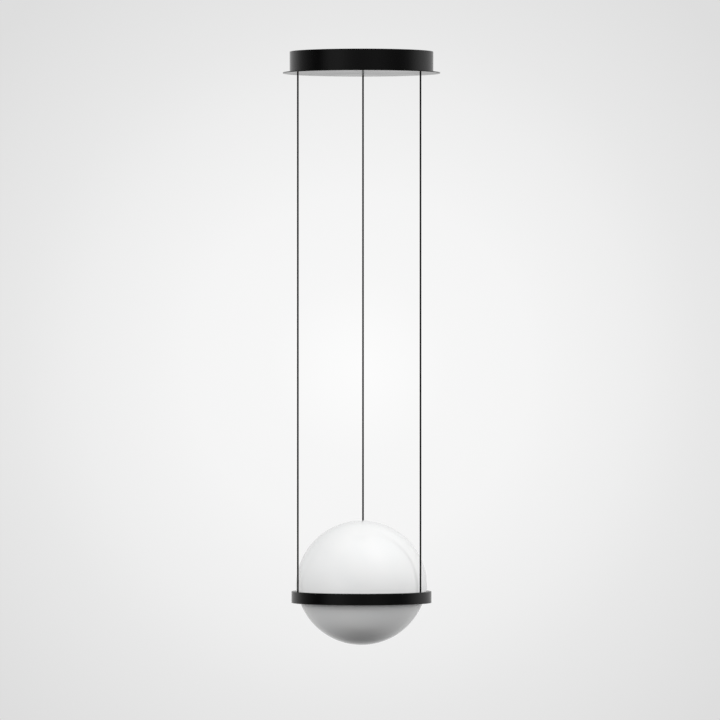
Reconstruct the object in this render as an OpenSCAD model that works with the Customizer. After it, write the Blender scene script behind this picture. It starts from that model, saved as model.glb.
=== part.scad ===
// Pendant lamp: a two-part opal glass globe held in a black ring, which hangs level
// on three straight cables from a round black ceiling canopy with a wider lower plate.
// Origin: centre of the ceiling face. +Z points up, the viewer stands at -Y. Millimetres.

/* [Ring] */
// Outer diameter of the black ring
ring_d = 320; // [280:1:380]
// Height of the ring
ring_h = 26.2; // [25:0.2:34]
// Width of the ring's top face, from the glass to the outer edge
rim_w = 10; // [9.6:0.2:14]
// Shadow gap between the glass and the ring
rim_gap = 0.7; // [0.5:0.1:1.2]
// Thickness of the inner ledge
ledge_t = 3; // [2:0.5:4]
// Edge break on the ring
ring_edge = 0.6; // [0.2:0.1:1.2]

/* [Glass] */
// Glass thickness
glass_t = 4; // [3:0.5:5]
// Height of the dome's centre above the ring's top
dome_rise = 12; // [8:1:16]
// Height of the bowl's centre above the ring's top
bowl_rise = 27.5; // [25:0.5:30]
// Depth of the dome's rim below the ring's top
dome_seat = 6; // [5:0.5:7]
// Gasket thickness under the dome
gasket_t = 2; // [1.5:0.5:3]

/* [Suspension] */
// Free cable between the canopy and the ring
drop = 1184; // [500:1:2000]
// Cable diameter over the jacket
cable_d = 4; // [2.8:0.1:4.2]
// Diameter of the steel core inside the jacket
core_d = 1.6; // [1.2:0.1:1.8]
// Tilt that the cable holes allow, each way
swing = 4; // [2:0.5:4]
// Place of the back cable around the ring, in degrees
back_at = 88.7; // [80:0.1:100]
// Place of the left cable around the ring, in degrees
left_at = 201.2; // [195:0.1:215]
// Place of the right cable around the ring, in degrees
right_at = 329.65; // [325:0.1:345]
// Gap between the parts of a swivel
swivel_gap = 0.2; // [0.1:0.05:0.3]

/* [Canopy] */
// How far the drum stands out past the ring, on the radius
drum_over = 4.25; // [4.25:0.25:12]
// Height of the drum
drum_h = 47.5; // [46:0.5:70]
// Wall of the drum
drum_wall = 1.5; // [1:0.1:1.6]
// How far the plate stands out past the drum, on the radius
plate_lip = 15.75; // [8:0.25:24]
// Thickness of the plate
plate_t = 2; // [2:0.25:3]
// Thickness of the ceiling bracket
bracket_t = 2.5; // [2:0.5:4]
// Circle of the ceiling screws
bolt_pcd = 90; // [80:1:94]
// Diameter of a ceiling screw hole
bolt_hole = 5.5; // [4.5:0.1:6.5]
// Bore of the supply inlet
inlet_d = 11; // [8:0.5:12]

/* [Lighting] */
// Number of light chips on the strip
chip_count = 60; // [30:1:90]
// Width of the light strip
strip_w = 8; // [6:0.5:8]
// Length of the driver's body without its end caps
driver_l = 90; // [70:1:100]
// Width of the driver
driver_w = 40; // [30:1:40]
// Height of the driver
driver_h = 26; // [18:1:28]

/* [Hidden] */
$fn = 96;
fine = 240;
eps = 0.05;
cable_r = cable_d / 2;
core_r = core_d / 2;
ring_ro = ring_d / 2;
glass_ro = ring_ro - rim_w;
glass_ri = glass_ro - glass_t;
ring_ri = glass_ro + rim_gap;
hang_r = (ring_ri + ring_ro) / 2 + 0.15;
tilt = swing * 1.4142;
// Heights
plate_top = -drum_h;
plate_low = -drum_h - plate_t;
ring_top = plate_low - drop;
ring_low = ring_top - ring_h;
dome_z = ring_top + dome_rise;
bowl_z = ring_top + bowl_rise;
// Swivel at the canopy
bush_t = 0.8;
lug_t = 0.8;
seat_floor = plate_top + bush_t + lug_t;
ball_r = cable_r + 2.2;
liner_ri = ball_r + swivel_gap;
liner_ro = liner_ri + 0.9;
seat_ri = liner_ro + swivel_gap;
seat_ro = seat_ri + 1.3;
pivot_top = seat_floor + seat_ri + 0.4;
throat_r = cable_r / cos(tilt) + (pivot_top - plate_low) * tan(tilt) + 0.35;
spigot_r = throat_r + 1.9;
neck_r = cable_r + 1;
nut_low = pivot_top + 5.2;
nut_top = pivot_top + 11;
tail_top = -14;
// Swivel at the ring
pivot_low = ring_top - 9;
end_r = core_r + 1.7;
socket_r = end_r + swivel_gap + 0.1;
sleeve_r = socket_r + 0.8;
sleeve_top = ring_top - 4;
sleeve_low = ring_top - 14;
entry_r = cable_r / cos(tilt) + 9 * tan(tilt) + 0.4;
core_hole_r = core_r / cos(tilt) + 5 * tan(tilt) + 0.3;
jacket_low = ring_top - 3.3;
// Ring inside
ledge_top = ring_top - dome_seat - gasket_t;
ledge_low = ledge_top - ledge_t;
rim_in = sqrt(glass_ri * glass_ri - (dome_rise + dome_seat) * (dome_rise + dome_seat));
ledge_ri = rim_in - 4.7;
bowl_seat = ring_top - ledge_low + 6;
bowl_rim_r = sqrt(glass_ro * glass_ro - (bowl_rise + bowl_seat) * (bowl_rise + bowl_seat));
collar_ri = bowl_rim_r + 0.5;
collar_ro = collar_ri + 1.7;
carrier_ro = ledge_ri - 0.3;
carrier_ri = carrier_ro - 1.5;
strip_ri = carrier_ri - 1;
leg_ro = ring_ri - 0.2;
leg_ri = leg_ro - 1.3;
lug_ro = leg_ri - 0.3;
lug_top = ledge_low - 4.6;
lug_low = lug_top - 2.2;
shelf_top = lug_low - 0.3;
shelf_low = shelf_top - 1.9;
foot_low = ledge_low - 1.6;
hook_at = [30, 150, 270];
hook_span = 22;
// Canopy inside
drum_ro = ring_ro + drum_over;
drum_ri = drum_ro - drum_wall;
plate_ro = drum_ro + plate_lip;
hub_r = 110;
arm_w = 36;
arm_root = 20;
arm_r = drum_ri - 0.3;
pillar_at = hang_r - 11.5;
arm_at = [(back_at + left_at) / 2, (left_at + right_at) / 2, (right_at + back_at + 360) / 2];
cable_at = [back_at, left_at, right_at];
driver_y = -74;
cap_l = 15;
driver_x = driver_l / 2 + cap_l;
block_x = -driver_x - 2;
block_y = 48;
wire_r = 1;
wire_sides = 10;
bend_d = 5;
earth_x = 72;
earth_y = 40;
crimp_z = seat_floor + 1.4;

function around(r, a, z) = [r * cos(a), r * sin(a), z];
function inward(a, d, z) = around(hang_r - d, a, z);

// A round bar or hole from height lo to height hi
module post(r, lo, hi) {
    translate([0, 0, lo])
        cylinder(r = r, h = hi - lo);
}

// A ring of square section
module band(ri, ro, lo, hi) {
    difference() {
        post(ro, lo, hi);
        post(ri, lo - 1, hi + 1);
    }
}

module at_cable(a) {
    translate([hang_r * cos(a), hang_r * sin(a), 0])
        children();
}

module rod(a, b, r) {
    v = b - a;
    translate(a)
        rotate([0, acos(v[2] / norm(v)), atan2(v[1], v[0])])
            cylinder(r = r, h = norm(v));
}

function unit(v) = v / norm(v);
function bent(a, b, c, t) = (1 - t) * (1 - t) * a + 2 * t * (1 - t) * b + t * t * c;

// The route again, with each corner rounded over a length d
function eased(p, d) = [
    p[0],
    for (i = [1 : len(p) - 2])
        let (a = p[i] + unit(p[i - 1] - p[i]) * d, c = p[i] + unit(p[i + 1] - p[i]) * d)
            for (k = [0 : 4])
                bent(a, p[i], c, k / 4),
    p[len(p) - 1]
];

function ahead(p, i) = i < len(p) - 1 ? unit(p[i + 1] - p[i]) : [0, 0, 0];
function heading(p, i) = unit(ahead(p, i) + (i > 0 ? ahead(p, i - 1) : [0, 0, 0]));

// A wire swept along a route with rounded corners
module wire(route, r) {
    p = eased(route, bend_d);
    m = len(p);
    n = wire_sides;
    points = [
        for (i = [0 : m - 1])
            let (t = heading(p, i), u = unit(cross(t, [0.31, 0.22, 0.93])), v = cross(t, u))
                for (k = [0 : n - 1])
                    p[i] + r * (u * cos(k * 360 / n) + v * sin(k * 360 / n))
    ];
    sides = [
        for (i = [0 : m - 2])
            for (k = [0 : n - 1])
                let (a = i * n + k, b = i * n + (k + 1) % n)
                    for (f = [[a, a + n, b + n], [a, b + n, b]])
                        f
    ];
    start = [for (k = [0 : n - 1]) k];
    end = [for (k = [0 : n - 1]) m * n - 1 - k];
    polyhedron(points = points, faces = concat([start], sides, [end]));
}

module shell(z, ro, ri) {
    translate([0, 0, z])
        difference() {
            sphere(r = ro, $fn = fine);
            sphere(r = ri, $fn = fine);
        }
}

// Pan head screw pointing up, its head's upper face at height z
module pan_screw(z, head_r, head_h, shank_r, length) {
    difference() {
        union() {
            post(head_r, z - head_h, z);
            post(shank_r, z - 0.2, z + length);
        }
        translate([0, 0, z - head_h - 1])
            cylinder(r = head_r * 0.5, h = 1 + head_h * 0.6, $fn = 6);
    }
}

// Canopy

module ceiling_bracket() {
    color("silver")
        difference() {
            union() {
                post(hub_r, -bracket_t, 0);
                intersection() {
                    post(arm_r, -bracket_t, 0);
                    for (a = arm_at)
                        rotate([0, 0, a])
                            translate([arm_root, -arm_w / 2, -bracket_t])
                                cube([drum_ro, arm_w, bracket_t]);
                }
            }
            post(inlet_d / 2 + 2.55, -bracket_t - 1, 1);
            for (a = [0 : 90 : 270])
                translate(around(bolt_pcd / 2, a, 0))
                    post(bolt_hole / 2, -bracket_t - 1, 1);
            for (a = arm_at)
                translate(around(pillar_at, a, 0))
                    post(2.55, -bracket_t - 1, 1);
            for (s = [-1, 1])
                translate([s * (driver_x + 6), driver_y, 0])
                    post(1.55, -bracket_t - 1, 1);
            for (s = [-1, 1])
                translate([block_x, block_y, 0])
                    translate([s * 9, 0, 0])
                        post(1.3, -bracket_t - 1, 1);
            for (s = [-1, 1])
                strain_place()
                    translate([0, s * 10.5, 0])
                        post(1.55, -bracket_t - 1, 1);
            translate([earth_x, earth_y, 0])
                post(2.05, -bracket_t - 1, 1);
        }
}

module inlet_grommet() {
    color("dimgray")
        difference() {
            union() {
                post(inlet_d / 2 + 2.5, -bracket_t, -0.2);
                post(inlet_d / 2 + 5, -bracket_t - 2.5, -bracket_t);
            }
            post(inlet_d / 2, -bracket_t - 3, 0);
        }
}

module bracket_pillars() {
    color("silver")
        for (a = arm_at)
            translate(around(pillar_at, a, 0))
                difference() {
                    union() {
                        translate([0, 0, plate_top])
                            cylinder(r = 5, h = drum_h - bracket_t, $fn = 6);
                        post(2.5, -bracket_t - 0.5, -0.2);
                    }
                    post(2.05, plate_top - 1, plate_top + 14);
                }
}

module canopy_drum() {
    color("black")
        rotate_extrude()
            polygon([[drum_ri, plate_top], [drum_ro, plate_top], [drum_ro, -0.5],
                [drum_ro - 0.5, 0], [drum_ri, 0]]);
}

module canopy_plate() {
    color("black")
        difference() {
            rotate_extrude()
                polygon([[0, plate_low], [plate_ro - 0.4, plate_low], [plate_ro, plate_low + 0.4],
                    [plate_ro, plate_top - 0.4], [plate_ro - 0.4, plate_top], [0, plate_top]]);
            for (a = cable_at)
                at_cable(a)
                    post(spigot_r + 0.95, plate_low - 1, plate_top + 1);
            for (a = arm_at)
                translate(around(pillar_at, a, 0)) {
                    post(2.05, plate_low - 1, plate_top + 1);
                    translate([0, 0, plate_low - 0.01])
                        cylinder(r1 = 4.25, r2 = 2.05, h = 1.8);
                }
        }
}

module plate_screws() {
    color("black")
        for (a = arm_at)
            translate(around(pillar_at, a, 0))
                difference() {
                    union() {
                        translate([0, 0, plate_low + 0.05])
                            cylinder(r1 = 4.15, r2 = 2, h = 1.75);
                        post(2, plate_low + 1, plate_top + 11);
                    }
                    translate([0, 0, plate_low - 1])
                        cylinder(r = 1.6, h = 2.6, $fn = 6);
                }
}

module driver_place() {
    translate([0, driver_y, -bracket_t])
        children();
}

module driver_outline() {
    polygon([[0, -driver_w / 2], [driver_h - 2, -driver_w / 2], [driver_h, 2 - driver_w / 2],
        [driver_h, driver_w / 2 - 2], [driver_h - 2, driver_w / 2], [0, driver_w / 2]]);
}

module driver_case() {
    color("whitesmoke")
        driver_place()
            translate([-driver_l / 2, 0, 0])
                rotate([0, 90, 0])
                    difference() {
                        linear_extrude(height = driver_l)
                            driver_outline();
                        for (i = [1 : 5])
                            translate([driver_h - 0.6, -driver_w / 2 + 4, i * driver_l / 6 - 1])
                                cube([2, driver_w - 8, 2]);
                    }
}

module driver_caps() {
    color("white")
        driver_place()
            for (s = [-1, 1])
                scale([s, 1, 1])
                    difference() {
                        union() {
                            translate([driver_l / 2, 0, 0])
                                rotate([0, 90, 0])
                                    linear_extrude(height = cap_l)
                                        driver_outline();
                            translate([driver_x - 0.5, -8, -2])
                                cube([12, 16, 2]);
                        }
                        translate([driver_x + 6, 0, 0])
                            post(1.6, -3, 1);
                        translate([driver_l / 2 - 0.01, -driver_w / 2 - 0.01, -driver_h - 0.01])
                            cube([0.6, driver_w + 0.02, 1.2]);
                    }
}

module driver_screws() {
    color("silver")
        for (s = [-1, 1])
            translate([s * (driver_x + 6), driver_y, 0])
                pan_screw(-bracket_t - 2, 3, 2, 1.5, bracket_t + 1.8);
}

module terminal_block() {
    color("ivory")
        translate([block_x, block_y, -bracket_t])
            difference() {
                translate([-13, -9, -15])
                    cube([26, 18, 15]);
                for (s = [-1, 1])
                    translate([s * 9, 0, 0]) {
                        post(1.35, -16, 1);
                        post(2.4, -16, -8);
                    }
                for (s = [-1, 1])
                    translate([s * 4, 0, -16])
                        cylinder(r = 2, h = 8);
            }
}

module terminal_screws() {
    color("goldenrod")
        translate([block_x, block_y, 0]) {
            for (s = [-1, 1])
                translate([s * 9, 0, 0])
                    pan_screw(-bracket_t - 8, 2.3, 1.8, 1.25, 8 + bracket_t - 0.4);
            for (s = [-1, 1])
                translate([s * 4, 0, 0])
                    difference() {
                        post(1.95, -bracket_t - 13, -bracket_t - 8);
                        translate([-2.5, -0.35, -bracket_t - 13.5])
                            cube([5, 0.7, 1.5]);
                    }
        }
}

module strain_place() {
    rotate([0, 0, 140])
        translate([30, 0, 0])
            children();
}

module strain_clamp() {
    color("ivory")
        strain_place()
            difference() {
                translate([-4, -14.5, -bracket_t - 10])
                    cube([8, 29, 10]);
                translate([-5, 0, -bracket_t - 3])
                    rotate([0, 90, 0])
                        cylinder(r = 4.5, h = 10);
                translate([-5, -4.5, -bracket_t - 3])
                    cube([10, 9, 4]);
                for (s = [-1, 1])
                    translate([0, s * 10.5, 0])
                        post(1.6, -bracket_t - 11, 0);
            }
}

module strain_screws() {
    color("silver")
        strain_place()
            for (s = [-1, 1])
                translate([0, s * 10.5, 0])
                    pan_screw(-bracket_t - 10, 2.9, 2, 1.5, 10 + bracket_t - 0.4);
}

module earth_stud() {
    color("goldenrod")
        translate([earth_x, earth_y, 0]) {
            post(2, -bracket_t - 12, -0.2);
            difference() {
                translate([0, 0, -bracket_t - 5])
                    cylinder(r = 4.2, h = 3.8, $fn = 6);
                post(1.9, -bracket_t - 6, 0);
            }
        }
}

module earth_lug() {
    color("goldenrod")
        translate([earth_x, earth_y, -bracket_t])
            difference() {
                union() {
                    post(4.6, -1.2, 0);
                    translate([-3, 2, -1.2])
                        cube([6, 16, 1.2]);
                    translate([-2.5, 12, -4.2])
                        cube([5, 6, 3.1]);
                }
                post(2.05, -2, 1);
            }
}

module supply_leads() {
    color("saddlebrown")
        for (i = [0, 1]) {
            x = block_x - 4 - 6 * i;
            y = driver_y + 6 - 12 * i;
            wire([[x, block_y - 9, -12], [x, y, -12], [-driver_x, y, -12]], wire_r);
        }
}

module output_leads() {
    color("firebrick")
        wire([[driver_x, driver_y + 6, -12], [driver_x + 20, driver_y + 6, -12],
            inward(right_at, 27, crimp_z), inward(right_at, 17, crimp_z)], wire_r);
    color("black")
        wire([[driver_x, driver_y - 8, -14], [driver_x + 12, driver_y - 8, -14],
            [driver_x + 12, driver_y - 28, -30], [-driver_x - 30, driver_y - 28, -30],
            inward(left_at, 27, crimp_z), inward(left_at, 17, crimp_z)], wire_r);
}

module earth_lead() {
    color("yellowgreen")
        wire([inward(back_at, 17, crimp_z), inward(back_at, 28, crimp_z),
            [earth_x, earth_y + 56, crimp_z], [earth_x, earth_y + 30, -bracket_t - 2.7],
            [earth_x, earth_y + 18, -bracket_t - 2.7]], wire_r);
}

module seat_lugs() {
    color("goldenrod")
        for (a = cable_at)
            at_cable(a)
                rotate([0, 0, a + 180])
                    difference() {
                        union() {
                            post(seat_ro - 0.1, seat_floor - lug_t, seat_floor);
                            translate([4, -2.5, seat_floor - lug_t])
                                cube([13, 5, lug_t]);
                            translate([12, -2.2, seat_floor - 0.1])
                                cube([5, 4.4, 2.9]);
                        }
                        post(spigot_r + 0.05, seat_floor - 2, seat_floor + 1);
                    }
}

module plate_bushes() {
    color("dimgray")
        for (a = cable_at)
            at_cable(a)
                difference() {
                    union() {
                        post(spigot_r + 0.9, plate_low, plate_top);
                        post(seat_ro + 0.1, plate_top, plate_top + bush_t);
                    }
                    post(spigot_r + 0.05, plate_low - 1, plate_top + 2);
                }
}

// Swivels and cables

module seat(a) {
    color("darkgoldenrod")
        at_cable(a)
            difference() {
                union() {
                    post(seat_ro, seat_floor, pivot_top + 3.5);
                    post(spigot_r, plate_low, seat_floor);
                }
                post(throat_r, plate_low - 1, pivot_top);
                translate([0, 0, pivot_top])
                    sphere(r = seat_ri);
                post(seat_ri, pivot_top, pivot_top + 5);
            }
}

module seat_back() {
    seat(back_at);
}

module seat_left() {
    seat(left_at);
}

module seat_right() {
    seat(right_at);
}

module liner(a) {
    color("ivory")
        at_cable(a)
            difference() {
                translate([0, 0, pivot_top])
                    sphere(r = liner_ro);
                translate([0, 0, pivot_top])
                    sphere(r = liner_ri);
                post(liner_ro + 1, pivot_top, pivot_top + 10);
                post(throat_r - 0.4, pivot_top - 10, pivot_top);
            }
}

module liner_back() {
    liner(back_at);
}

module liner_left() {
    liner(left_at);
}

module liner_right() {
    liner(right_at);
}

module ball(a) {
    color("gold")
        at_cable(a)
            difference() {
                union() {
                    translate([0, 0, pivot_top])
                        sphere(r = ball_r);
                    post(neck_r, pivot_top, nut_top - 1.5);
                }
                post(cable_r + eps, pivot_top - 10, nut_top + 1);
            }
}

module ball_back() {
    ball(back_at);
}

module ball_left() {
    ball(left_at);
}

module ball_right() {
    ball(right_at);
}

module clamp_nut(a) {
    color("silver")
        at_cable(a)
            difference() {
                translate([0, 0, nut_low])
                    cylinder(r = neck_r + 1.9, h = nut_top - nut_low, $fn = 6);
                post(neck_r + eps, nut_low - 1, nut_top - 1.45);
                post(cable_r + eps, nut_low - 1, nut_top + 1);
            }
}

module clamp_nut_back() {
    clamp_nut(back_at);
}

module clamp_nut_left() {
    clamp_nut(left_at);
}

module clamp_nut_right() {
    clamp_nut(right_at);
}

module cable(a) {
    color("black")
        at_cable(a) {
            post(cable_r, jacket_low, tail_top);
            post(core_r, pivot_low, jacket_low + 0.5);
        }
}

module cable_back() {
    cable(back_at);
}

module cable_left() {
    cable(left_at);
}

module cable_right() {
    cable(right_at);
}

module end_ball(a) {
    color("gold")
        at_cable(a)
            translate([0, 0, pivot_low])
                difference() {
                    sphere(r = end_r);
                    translate([0, 0, -0.3])
                        cylinder(r1 = core_r + 0.15, r2 = core_r + 0.15 + (end_r + 1) * tan(swing),
                            h = end_r + 1);
                }
}

module end_ball_back() {
    end_ball(back_at);
}

module end_ball_left() {
    end_ball(left_at);
}

module end_ball_right() {
    end_ball(right_at);
}

// Ring and globe

module ring_band() {
    color("black")
        difference() {
            rotate_extrude()
                polygon([[ring_ri, ring_low], [ring_ro - ring_edge, ring_low],
                    [ring_ro, ring_low + ring_edge], [ring_ro, ring_top - ring_edge],
                    [ring_ro - ring_edge, ring_top], [ring_ri, ring_top], [ring_ri, ledge_top],
                    [ledge_ri, ledge_top], [ledge_ri, ledge_low], [ring_ri, ledge_low]]);
            for (a = cable_at)
                at_cable(a) {
                    post(entry_r, sleeve_top - 1, ring_top + 1);
                    post(sleeve_r + eps, ring_low - 1, sleeve_top);
                }
            for (i = [0 : 5])
                translate(around(ledge_ri + 2.6, i * 60 + 10, 0))
                    post(1.05, ledge_low - 1, ledge_top + 1);
            for (a = hook_at)
                for (s = [-1, 1])
                    translate(around(leg_ri - 1.8, a + s * 7, 0))
                        post(0.95, ledge_low - 1, ledge_top - 0.6);
        }
}

module socket_sleeves() {
    color("ivory")
        for (a = cable_at)
            at_cable(a)
                difference() {
                    post(sleeve_r, sleeve_low, sleeve_top);
                    post(core_hole_r, pivot_low, sleeve_top + 1);
                    translate([0, 0, pivot_low])
                        sphere(r = socket_r);
                    post(socket_r, sleeve_low - 1, pivot_low);
                }
}

module socket_plugs() {
    color("black")
        for (a = cable_at)
            at_cable(a)
                difference() {
                    post(sleeve_r, ring_low + 0.2, sleeve_low);
                    translate([0, 0, ring_low - 1])
                        cylinder(r = 1.8, h = 5, $fn = 6);
                }
}

module dome_glass() {
    color("white")
        intersection() {
            shell(dome_z, glass_ro, glass_ri);
            post(glass_ro + 5, ring_top - dome_seat, dome_z + glass_ro + 5);
        }
}

module dome_gasket() {
    color("lightgray")
        difference() {
            band(rim_in - 1.5, ring_ri - 0.05, ledge_top, ring_top - 2.5);
            post(ring_ri - 1.2, ring_top - dome_seat, ring_top);
            translate([0, 0, dome_z])
                sphere(r = glass_ro + 0.05, $fn = fine);
        }
        color("lightgray")
            band(rim_in - 1.5, ring_ri - 1.25, ledge_top, ring_top - dome_seat);
}

module led_carrier() {
    color("silver")
        difference() {
            union() {
                band(carrier_ri, carrier_ro, ledge_low - 4, ledge_top + 3);
                band(carrier_ro - 0.5, ledge_ri + 4.8, ledge_low - 1.5, ledge_low);
            }
            for (i = [0 : 5])
                translate(around(ledge_ri + 2.6, i * 60 + 10, 0))
                    post(1.1, ledge_low - 3, ledge_low + 1);
        }
}

module carrier_screws() {
    color("silver")
        for (i = [0 : 5])
            translate(around(ledge_ri + 2.6, i * 60 + 10, 0))
                pan_screw(ledge_low - 1.5, 1.9, 1.5, 1, 1.5 + ledge_t - 0.3);
}

module led_strip() {
    color("linen")
        rotate([0, 0, 272])
            rotate_extrude(angle = 356)
                translate([strip_ri, ledge_low - 3.5])
                    square([carrier_ri - strip_ri - eps, strip_w]);
}

module led_chips() {
    color("khaki")
        for (i = [0 : chip_count - 1])
            rotate([0, 0, 270 + (i + 0.5) * 360 / chip_count])
                translate([strip_ri - 0.85, -1.4, ledge_low - 3.5 + strip_w / 2 - 1.75])
                    cube([0.8, 2.8, 3.5]);
}

// Two leads run in from the sockets of the live cables to solder pads on the carrier's flange
module strip_leads() {
    color("firebrick")
        for (a = [left_at, right_at])
            rod(around(ring_ri, a, ledge_low - 2.4), around(carrier_ro, a, ledge_low - 2.4), 0.7);
}

module bayonet_hooks() {
    color("silver")
        for (a = hook_at)
            difference() {
                rotate([0, 0, a - hook_span / 2 - 1])
                    rotate_extrude(angle = hook_span + 1)
                        translate([collar_ro + 0.6, shelf_low])
                            square([leg_ro - collar_ro - 0.6, ledge_low - shelf_low]);
                rotate([0, 0, a - hook_span / 2])
                    rotate_extrude(angle = hook_span + 3)
                        translate([collar_ro - 1, shelf_top])
                            square([leg_ri - collar_ro + 1, foot_low - shelf_top]);
                for (s = [-1, 1])
                    translate(around(leg_ri - 1.8, a + s * 7, 0))
                        post(1, foot_low - 1, ledge_low + 1);
            }
}

module hook_screws() {
    color("silver")
        for (a = hook_at)
            for (s = [-1, 1])
                translate(around(leg_ri - 1.8, a + s * 7, 0))
                    pan_screw(foot_low, 1.5, 1.2, 0.9, 1.6 + ledge_t - 1);
}

module bowl_glass() {
    color("white")
        intersection() {
            shell(bowl_z, glass_ro, glass_ri);
            post(glass_ro + 5, bowl_z - glass_ro - 5, ring_top - bowl_seat);
        }
}

module bowl_collar() {
    color("black") {
        difference() {
            union() {
                post(ring_ri - 0.4, ring_low + 0.3, ring_low + 2.8);
                post(collar_ro, ring_low + 2, lug_top);
            }
            translate([0, 0, bowl_z])
                sphere(r = glass_ro + 0.15, $fn = fine);
            post(collar_ri, ring_low + 2.8, lug_top + 1);
        }
        for (a = hook_at)
            rotate([0, 0, a - hook_span / 2 + 1])
                rotate_extrude(angle = hook_span - 2)
                    translate([collar_ro - 0.4, lug_low])
                        square([lug_ro - collar_ro + 0.4, lug_top - lug_low]);
    }
}

module bowl_bond() {
    color("lightgray")
        difference() {
            translate([0, 0, ring_low + 2.85])
                cylinder(r = collar_ri - 0.05, h = ring_h - bowl_seat - 3.15, $fn = fine);
            translate([0, 0, bowl_z])
                sphere(r = glass_ro + 0.05, $fn = fine);
        }
}

ceiling_bracket();
inlet_grommet();
bracket_pillars();
canopy_drum();
canopy_plate();
plate_screws();
driver_case();
driver_caps();
driver_screws();
terminal_block();
terminal_screws();
strain_clamp();
strain_screws();
earth_stud();
earth_lug();
supply_leads();
output_leads();
earth_lead();
seat_lugs();
plate_bushes();
seat_back();
seat_left();
seat_right();
liner_back();
liner_left();
liner_right();
ball_back();
ball_left();
ball_right();
clamp_nut_back();
clamp_nut_left();
clamp_nut_right();
cable_back();
cable_left();
cable_right();
end_ball_back();
end_ball_left();
end_ball_right();
ring_band();
socket_sleeves();
socket_plugs();
dome_glass();
dome_gasket();
led_carrier();
carrier_screws();
led_strip();
led_chips();
strip_leads();
bayonet_hooks();
hook_screws();
bowl_glass();
bowl_collar();
bowl_bond();
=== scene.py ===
import math
import bmesh
import bpy
import numpy as np
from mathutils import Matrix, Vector
from mathutils.geometry import tessellate_polygon


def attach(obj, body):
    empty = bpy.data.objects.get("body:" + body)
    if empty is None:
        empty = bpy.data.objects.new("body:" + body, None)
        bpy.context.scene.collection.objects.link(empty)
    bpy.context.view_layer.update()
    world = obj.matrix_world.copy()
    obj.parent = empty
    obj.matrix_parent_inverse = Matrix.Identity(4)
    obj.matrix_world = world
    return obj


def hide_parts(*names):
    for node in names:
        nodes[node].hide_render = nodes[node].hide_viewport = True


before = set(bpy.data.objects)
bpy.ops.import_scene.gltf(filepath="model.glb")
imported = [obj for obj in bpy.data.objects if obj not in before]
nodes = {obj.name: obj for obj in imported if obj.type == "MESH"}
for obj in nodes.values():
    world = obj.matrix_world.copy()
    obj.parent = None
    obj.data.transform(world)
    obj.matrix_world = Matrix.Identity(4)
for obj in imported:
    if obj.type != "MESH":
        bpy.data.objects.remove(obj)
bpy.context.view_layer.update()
scene = bpy.context.scene
mm = 0.001


def facing(place, aim):
    return (Vector(aim) - Vector(place)).to_track_quat("-Z", "Y").to_euler()


# camera: level with the middle of the drop, far away on a long lens
eye = {"lens": 330.0, "sensor": 36.0, "clip": (0.1, 200.0),
       "place": (-0.0034, -15.09, -0.670), "aim": (-0.0034, 0.0, -0.7047)}


def setCamera(f):
    data = bpy.data.cameras.new("eye")
    data.lens, data.sensor_width = f["lens"], f["sensor"]
    data.clip_start, data.clip_end = f["clip"]
    cam = bpy.data.objects.new("eye", data)
    scene.collection.objects.link(cam)
    cam.location = f["place"]
    cam.rotation_euler = facing(f["place"], f["aim"])
    scene.camera = cam


setCamera(eye)
print("camera set")


# quarter circle in a section: centre + r (cos t, sin t) from the angle start, in degrees;
# before and after put one more point on the tangent at that end, so that the flat there shades flat
def quarterBend(centre, r, start, steps, before=0.0, after=0.0):
    t = math.radians(start) + np.linspace(0, math.pi / 2, steps)
    arc = np.asarray(centre) + r * np.stack([np.cos(t), np.sin(t)], -1)
    along = np.stack([-np.sin(t), np.cos(t)], -1)
    rows = [arc]
    if before:
        rows.insert(0, arc[:1] - before * along[:1])
    if after:
        rows.append(arc[-1:] + after * along[-1:])
    return np.concatenate(rows)


# quads between neighbouring rows and columns of a grid of points, closed round its columns
def gridFaces(rows, cols, wrapRows):
    i = np.arange(rows if wrapRows else rows - 1)[:, None]
    j = np.arange(cols)[None]
    nextRow, nextCol = (i + 1) % rows, (j + 1) % cols
    quads = [i * cols + j, i * cols + nextCol, nextRow * cols + nextCol, nextRow * cols + j]
    return np.stack(quads, -1).reshape(-1, 4)


# surface of revolution: x = r cos t, y = r sin t, z = z over profile points (r, z) and angles t;
# a profile that starts or ends on the axis is closed there by a fan
def turned(profile, angles, wrap=False, centre=(0, 0)):
    pr = np.asarray(profile, float)
    t = np.asarray(angles, float)
    nearAxis = 1e-9
    firstPole, lastPole = (pr[k, 0] < nearAxis and not wrap for k in (0, -1))
    body = pr[int(firstPole):len(pr) - int(lastPole)]
    x = centre[0] + body[:, :1] * np.cos(t)
    y = centre[1] + body[:, :1] * np.sin(t)
    z = np.repeat(body[:, 1:], len(t), 1)
    verts = np.stack([x, y, z], -1).reshape(-1, 3)
    faces = [gridFaces(len(body), len(t), wrap)]
    here = np.arange(len(t))
    beside = (here + 1) % len(t)
    if firstPole:
        faces.append(np.stack([np.full_like(here, len(verts)), beside, here], -1))
        verts = np.vstack([verts, [centre[0], centre[1], pr[0, 1]]])
    if lastPole:
        last = (len(body) - 1) * len(t)
        faces.append(np.stack([last + here, last + beside, np.full_like(here, len(verts))], -1))
        verts = np.vstack([verts, [centre[0], centre[1], pr[-1, 1]]])
    return verts, faces


# evenly spaced angles, once round
def fullTurn(count):
    return np.arange(count) * 2 * math.pi / count


# circle of points: centre + r (cos t, sin t) at one height
def circle(centre, r, z, t):
    return np.stack([centre[0] + r * np.cos(t), centre[1] + r * np.sin(t), np.full(len(t), z)], -1)


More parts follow.
